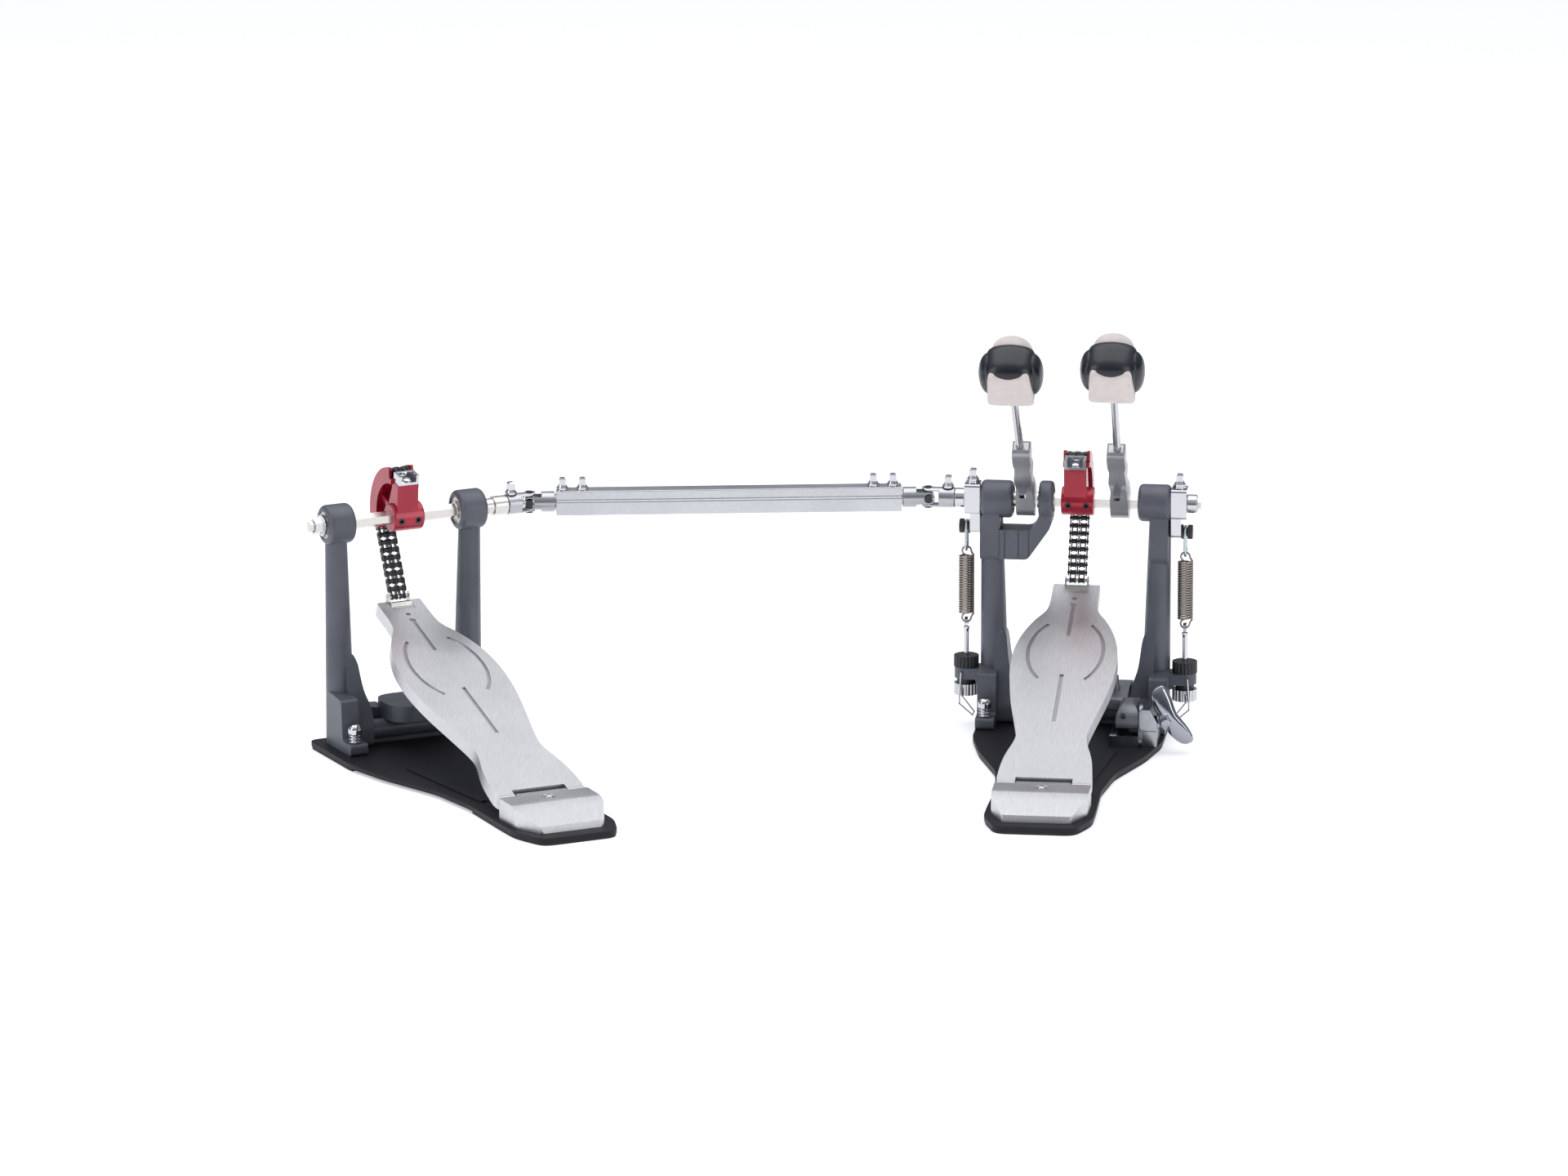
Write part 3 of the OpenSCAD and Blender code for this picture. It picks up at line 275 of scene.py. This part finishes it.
def anodised_red(name, colour, dark, bright):
    """Red anodised casting under a thin gloss."""
    m, shader, tree = new_material(name, colour, 0.3, 0.35)
    shader.inputs["Coat Weight"].default_value = 0.35
    shader.inputs["Coat Roughness"].default_value = 0.12
    fine = noise(tree, 900)
    vary_colour(tree, shader, spread(tree, noise(tree, 45), 0, 1), dark, bright)
    vary_roughness(tree, shader, fine, 0.22, 0.36)
    bump(tree, shader, fine, 0.08, 0.05)
    return m


TUBE_YAW = math.radians(-9.76)            # turns the scratches along the drive shaft
BOARD_LOOK = dict(colour=(0.62, 0.62, 0.63), roughness=0.37, scratches=(1400, 40, 300), strength=0.16)
LOOKS = {
    "base_black": (cast_paint, dict(colour=(0.008, 0.008, 0.011), roughness=0.5, grain=0.2, specular=0.3)),
    "pad_rubber": (black_plastic, dict(colour=(0.014, 0.014, 0.014), roughness=0.75)),
    "slate_cast": (cast_paint, dict(colour=(0.086, 0.093, 0.115), roughness=0.38, grain=0.4)),
    "steel": (brushed, dict(colour=(0.55, 0.54, 0.51), roughness=0.3, scratches=(900, 900, 60))),
    "shaft_steel": (brushed, dict(colour=(0.66, 0.63, 0.6), roughness=0.26, scratches=(70, 1200, 1200))),
    "knob_black": (black_plastic, dict(colour=(0.018, 0.018, 0.02), roughness=0.4)),
    "chrome": (chrome, dict(colour=(0.58, 0.58, 0.60), roughness=0.08)),
    "clamp_chrome": (chrome, dict(colour=(0.38, 0.39, 0.42), roughness=0.16)),
    "clamp_grey": (cast_paint, dict(colour=(0.22, 0.225, 0.25), roughness=0.33, grain=0.25, metallic=0.6)),
    "chain_black": (cast_paint, dict(colour=(0.02, 0.02, 0.024), roughness=0.3, grain=0.1)),
    "cam_red": (anodised_red, dict(colour=(0.36, 0.004, 0.026), dark=(0.3, 0.003, 0.02),
        bright=(0.42, 0.007, 0.034))),
    "clamp_cast": (cast_paint, dict(colour=(0.36, 0.365, 0.38), roughness=0.3, grain=0.5, metallic=0.75)),
    "beater_black": (black_plastic, dict(colour=(0.006, 0.008, 0.014), roughness=0.3)),
    "felt": (felt, dict(colour=(0.70, 0.63, 0.60))),
    "spring_steel": (brushed, dict(colour=(0.36, 0.31, 0.28), roughness=0.3, scratches=(500, 500, 500))),
    "link_zinc": (brushed, dict(colour=(0.5, 0.57, 0.58), roughness=0.25, scratches=(500, 500, 500))),
    "satin_steel": (brushed, dict(colour=(0.46, 0.46, 0.48), roughness=0.3, scratches=(1100, 90, 1100))),
    "tube_aluminium": (brushed, dict(colour=(0.62, 0.63, 0.65), roughness=0.34,
        scratches=(25, 1500, 1500), yaw=TUBE_YAW)),
    "brushed_aluminium": (brushed, BOARD_LOOK),
}
FINISHES = {slot: maker(slot, **look) for slot, (maker, look) in LOOKS.items()}
# the grain of each board runs from heel to toe
SLAVE_BOARD = brushed("slave_board", yaw=-SLAVE_YAW, **BOARD_LOOK)
# painted shade for the floors of the footboards' pressed grooves: a darker steel than the boards
GROOVE_PAINTED_SHADE = brushed("groove_painted_shade", (0.44, 0.44, 0.45), 0.3, (1400, 40, 300))
WING_CHROME = chrome("wing_chrome", (0.36, 0.37, 0.41), 0.1)
SCREW_BLACK = black_plastic("screw_black", (0.012, 0.012, 0.013), 0.35)


# ---------------------------------------------------------------- CAD nodes
BEVELS = {                                # mm
    "slate_cast": 0.8, "base_black": 0.5, "brushed_aluminium": 0.35, "cam_red": 0.5,
    "clamp_cast": 0.7, "chain_black": 0.12, "tube_aluminium": 0.4, "chrome": 0.3,
    "clamp_chrome": 0.8, "clamp_grey": 0.9,
}
SMALL_BEVEL = 0.25                        # mm, for the other finishes
WELD_GAP = 0.02 * MM
SHARP = math.radians(30)
SMALL_FACE = 1e-6                         # m2, smaller faces don't set the level of a board's top
GROOVE_DEPTHS = (0.8 * MM, 1.8 * MM)


def blacken_screws(tag, obj):
    """The two hexagon-socket screws in the cam are black; the other pieces of their node are bright."""
    low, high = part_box(tag + "_cam")
    limit = (low.z + 2 * high.z) / 3
    obj.data.materials.append(SCREW_BLACK)
    for face in obj.data.polygons:
        centre = obj.matrix_world @ face.center
        if centre.z < limit and all(low[k] - MM < centre[k] < high[k] + MM for k in (0, 1)):
            face.material_index = 1


def paint_groove_shade(tag, obj):
    """Painted shade: the floors of the pressed grooves in a footboard get a darker steel colour than its polished
    top.
    """
    obj.data.materials.append(GROOVE_PAINTED_SHADE)
    slope = Matrix.Rotation(BOARD_TILT, 4, "X")
    if tag == "left":
        slope = Matrix.Rotation(SLAVE_YAW, 4, "Z") @ slope
    up = slope @ Vector((0, 0, 1))
    faces = obj.data.polygons
    level = [(obj.matrix_world @ face.center).dot(up) for face in faces]
    top = max(height for height, face in zip(level, faces) if face.area > SMALL_FACE)
    for height, face in zip(level, faces):
        if GROOVE_DEPTHS[0] < top - height < GROOVE_DEPTHS[1] and face.normal.dot(up) > 0.99:
            face.material_index = 1


def soften(obj, width):
    """Smooth shading with small rounded edges, by modifiers alone."""
    custom = obj.data.attributes.get("custom_normal")
    if custom:
        obj.data.attributes.remove(custom)
    for face in obj.data.polygons:
        face.use_smooth = True
    weld = obj.modifiers.new("weld", "WELD")
    weld.merge_threshold = WELD_GAP
    bevel = obj.modifiers.new("bevel", "BEVEL")
    bevel.width = width
    bevel.segments = 2
    bevel.limit_method = "ANGLE"
    bevel.angle_limit = SHARP
    bevel.use_clamp_overlap = True
    normals = obj.modifiers.new("normals", "WEIGHTED_NORMAL")
    normals.mode = "FACE_AREA_WITH_ANGLE"
    normals.weight = 60


def finish_node(name, obj):
    slot = slot_of[name]
    tag = name.split("_")[0]
    obj.data.materials.clear()
    obj.data.materials.append(SLAVE_BOARD if name == "left_footboard" else FINISHES[slot])
    if name.endswith("_footboard"):
        # paints shade on the floors of the board's grooves
        paint_groove_shade(tag, obj)
    if name.endswith("_cap_and_screws"):
        blacken_screws(tag, obj)
    soften(obj, BEVELS.get(slot, SMALL_BEVEL) * MM)


# ---------------------------------------------------------------- mesh forms
SIDES = (-1, 1)


def around(count):
    """The angles of count even steps of a circle."""
    return [2 * math.pi * k / count for k in range(count)]


def join_rings(bm, rings):
    count = len(rings[0])
    for first, second in zip(rings, rings[1:]):
        for k in range(count):
            after = (k + 1) % count
            bm.faces.new((first[k], first[after], second[after], second[k]))


def close_ends(bm, rings, poles):
    """Joins the first and the last ring to a point each."""
    count = len(rings[0])
    for ring, point in zip((rings[0], rings[-1]), poles):
        pole = bm.verts.new(point)
        for k in range(count):
            bm.faces.new((ring[k], ring[(k + 1) % count], pole))


def superellipse(value, power):
    """A sine or cosine bent towards a box's; a power of 2 leaves it as it is."""
    return math.copysign(abs(value) ** (2 / power), value)


def plain(point):
    return point


def barrel(bm, centre, radii, power_round, power_end, shape=plain, stations=44, points=56):
    """A puffed form with even sections along x; powers over 2 make it boxier, and shape bends it."""
    rings = []
    for i in range(1, stations):
        x = -math.cos(math.pi * i / stations)
        size = (1 - abs(x) ** power_end) ** (1 / power_end)
        section = [Vector((
            x * radii.x,
            size * radii.y * superellipse(math.cos(t), power_round),
            size * radii.z * superellipse(math.sin(t), power_round))) for t in around(points)]
        rings.append([bm.verts.new(centre + shape(point)) for point in section])
    join_rings(bm, rings)
    close_ends(bm, rings, [centre + shape(Vector((side * radii.x, 0, 0))) for side in SIDES])


def puff(bm, centre, radii, power_round, power_up, shape=plain, columns=48, rows=28):
    """The same with its sections stacked along z."""
    rings = []
    for i in range(1, rows):
        up = math.pi * (i / rows - 0.5)
        size = superellipse(math.cos(up), power_up)
        section = [Vector((
            size * radii.x * superellipse(math.cos(t), power_round),
            size * radii.y * superellipse(math.sin(t), power_round),
            radii.z * superellipse(math.sin(up), power_up))) for t in around(columns)]
        rings.append([bm.verts.new(centre + shape(point)) for point in section])
    join_rings(bm, rings)
    close_ends(bm, rings, [centre + shape(Vector((0, 0, side * radii.z))) for side in SIDES])


OFF_AXIS = Vector((0.137, 0.291, 0.947))                  # no wire starts in this direction


def wire(bm, path, radius, sides):
    """A closed round wire along a list of points; its rings never twist."""
    rings = []
    last = len(path) - 1
    side_dir = (path[1] - path[0]).cross(OFF_AXIS)
    for i, point in enumerate(path):
        ahead = (path[min(i + 1, last)] - path[max(i - 1, 0)]).normalized()
        side_dir = (side_dir - side_dir.dot(ahead) * ahead).normalized()
        other = ahead.cross(side_dir)
        rings.append([bm.verts.new(point + radius * (math.cos(a) * side_dir + math.sin(a) * other))
            for a in around(sides)])
    join_rings(bm, rings)
    bm.faces.new(rings[0][::-1])
    bm.faces.new(rings[-1])


def mesh_piece(name, bm, slot, body, replaced, place=Matrix.Identity(4), material=None):
    """A new visible piece from a bmesh, put in place, which stands for the replaced CAD nodes."""
    bmesh.ops.recalc_face_normals(bm, faces=bm.faces)
    bm.transform(place)
    mesh = bpy.data.meshes.new(name)
    bm.to_mesh(mesh)
    bm.free()
    mesh.materials.append(material or FINISHES[slot])
    for face in mesh.polygons:
        face.use_smooth = True
    obj = bpy.data.objects.new(name, mesh)
    bpy.context.scene.collection.objects.link(obj)
    if body:
        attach(obj, body)
    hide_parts(*replaced)
    return obj


# ---------------------------------------------------------------- return springs
WIRE = 0.82 * MM                          # radius
COILS = 24
COIL_STEPS = 18                           # points to a turn
LOOP = 3.6 * MM                           # radius of the hooked end loops
LOOP_SWEEP, LOOP_STEPS = 250, 14          # degrees and steps of a loop
LOOP_SINK = 0.4 * MM                      # a loop reaches this far past the wire link's end
SHANK = 6.8 * MM                          # from a spring's end to its coils


def spring_path(low, high, x, y, radius):
    """Lower loop, close coils and upper loop of an extension spring, as one wire."""
    coil_low, coil_high = low + SHANK, high - SHANK

    def end_loop(start, height):
        turns = (math.radians(start + LOOP_SWEEP * i / LOOP_STEPS) for i in range(LOOP_STEPS + 1))
        return [Vector((x + LOOP * math.cos(a), y, height + LOOP * math.sin(a))) for a in turns]

    def lead(first, last):
        return [Vector(first).lerp(Vector(last), t) for t in (0.25, 0.5, 0.75)]

    steps = COILS * COIL_STEPS
    coils = []
    for i in range(steps + 1):
        a = 2 * math.pi * i / COIL_STEPS
        height = coil_low + (coil_high - coil_low) * i / steps
        coils.append(Vector((x + radius * math.cos(a), y + radius * math.sin(a), height)))
    return (end_loop(-LOOP_SWEEP, low + LOOP - LOOP_SINK)
        + lead((x + LOOP, y, low + LOOP), (x + radius, y, coil_low))
        + coils
        + lead((x + radius, y, coil_high), (x + LOOP, y, high - LOOP))
        + end_loop(0, high - LOOP + LOOP_SINK))


def return_spring(tag):
    node = tag + "_spring"
    low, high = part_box(node)
    x, y = (low.x + high.x) / 2, (low.y + high.y) / 2
    radius = (high.x - low.x) / 2 - WIRE
    bm = bmesh.new()
    wire(bm, spring_path(low.z + WIRE, high.z - WIRE, x, y, radius), WIRE, 8)
    obj = mesh_piece(node + "_wire", bm, "spring_steel", None, (node,))
    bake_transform(obj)


# ---------------------------------------------------------------- beater heads
HEAD_RADIUS = {"right": 172 * MM, "centre": 165 * MM}     # from the shaft to the middle of a head
SHAFT_NODE = {"right": "right_hex_shaft", "centre": "centre_shaft"}
OUTWARD = {"right": 1, "centre": -1}                      # the side to which each rod leans


def banded(point):
    """Full in the middle, thinner to the sides, with a round lip that overhangs the front pad."""
    half_width, lip_half, lip_start, lip_rise = 19.5 * MM, 13 * MM, -2 * MM, 9 * MM
    across = (point.x / half_width) ** 2
    lip = 0.0
    if point.y < 0:
        rise = min(1, max(0, (point.z - lip_start) / lip_rise))
        lip = 0.09 * rise * math.sqrt(max(0, 1 - (point.x / lip_half) ** 2))
    return Vector((point.x, point.y * (1 - 0.13 * across + lip), point.z * (1 - 0.3 * across)))


def cheek(side):
    """Bulges a little above its middle and draws in on its outer side towards both ends."""
    widest, half_height = 2 * MM, 20 * MM

    def shaped(point):
        rise = (point.z - widest) / half_height
        outer = 1 - 0.18 * rise * rise if point.x * side > 0 else 1
        return Vector((point.x * outer, point.y, point.z))
    return shaped


def front_pad(point):
    """Narrower at the top, where its edge dips under the core's lip."""
    half_height, dip_half, dip_depth = 18 * MM, 12 * MM, 2.2 * MM
    up = point.z / half_height
    dip = dip_depth * math.sqrt(max(0, 1 - (point.x / dip_half) ** 2)) * max(0, up)
    return Vector((point.x * (1 - 0.075 * up), point.y, point.z - dip))


def beater_head(tag, body):
    """Black core of a broad band and two cheeks, between a flat felt pad and a felt dome."""
    low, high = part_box(tag + "_beater_clamp")
    shaft_low, shaft_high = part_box(SHAFT_NODE[tag])
    axle = Vector(((low.x + high.x) / 2, 0, (shaft_low.z + shaft_high.z) / 2))
    lean = Matrix.Rotation(BEATER_TILT, 4, "X") @ Matrix.Rotation(OUTWARD[tag] * ROD_SPLAY, 4, "Y")
    place = Matrix.Translation(axle) @ lean
    middle = Vector((0, 0, HEAD_RADIUS[tag]))

    core, bm = tag + "_beater_core", bmesh.new()
    barrel(bm, middle + mm(0, 0.8, 1.2), mm(19.3, 17.4, 20.5), 3.2, 9, banded)
    for side in SIDES:
        puff(bm, middle + mm(side * 15, 0.8, -2), mm(10.6, 13.9, 18.2), 2.4, 2.6, cheek(side))
    mesh_piece(core + "_shell", bm, "beater_black", body, (core,), place)

    pads, bm = tag + "_beater_felt", bmesh.new()
    barrel(bm, middle + mm(0, -11.2, -2.6), mm(17.6, 7.4, 18.4), 7, 9, front_pad)
    puff(bm, middle + mm(0, 17, 1.4), mm(16.8, 12, 18), 2.2, 2.2)      # the dome, which strikes the drum
    mesh_piece(pads + "_pads", bm, "felt", body, (pads,), place)


# ---------------------------------------------------------------- wing bolt
def blade(point):
    """The wing's two blades, twisted: waisted at the boss, thin and swept along the bolt at the tips."""
    half_span, waist_half, sweep = 26 * MM, 0.3, 3.5 * MM
    along = point.z / half_span
    waist = 1 - 0.22 * math.exp(-(along / waist_half) ** 2)
    thin = 1 - 0.35 * abs(along)
    twist = 0.35 * along
    x = point.x * waist + sweep * along * along
    return Vector((x, point.y * thin + twist * point.x, point.z))


def wing():
    """Cast wing with two thick blades on a round boss, and its shank; x runs along the bolt."""
    hinge = joints["wing_bolt_turn"]
    tilt = math.atan2(hinge["axis"][2], hinge["axis"][0])
    place = Matrix.Translation(hinge["pos_m"]) @ Matrix.Rotation(-tilt, 4, "Y")
    bm = bmesh.new()
    barrel(bm, mm(10, 0, 0), mm(9, 3.3, 3.3), 2, 14, stations=20, points=24)       # shank
    barrel(bm, mm(22, 0, 0), mm(5.2, 7.4, 7.4), 2, 5, stations=24, points=40)      # boss
    puff(bm, mm(26.5, 0, 0), mm(8.2, 5.4, 26), 2.8, 3.2, blade)
    mesh_piece("wing_bolt_cast", bm, "chrome", "wing", ("wing_bolt",), place, WING_CHROME)


camera()
studio()
for node_name, node_obj in nodes.items():
    finish_node(node_name, node_obj)
for side_name in ("right", "centre"):
    return_spring(side_name)
    beater_head(side_name, side_name + "_axle")
wing()
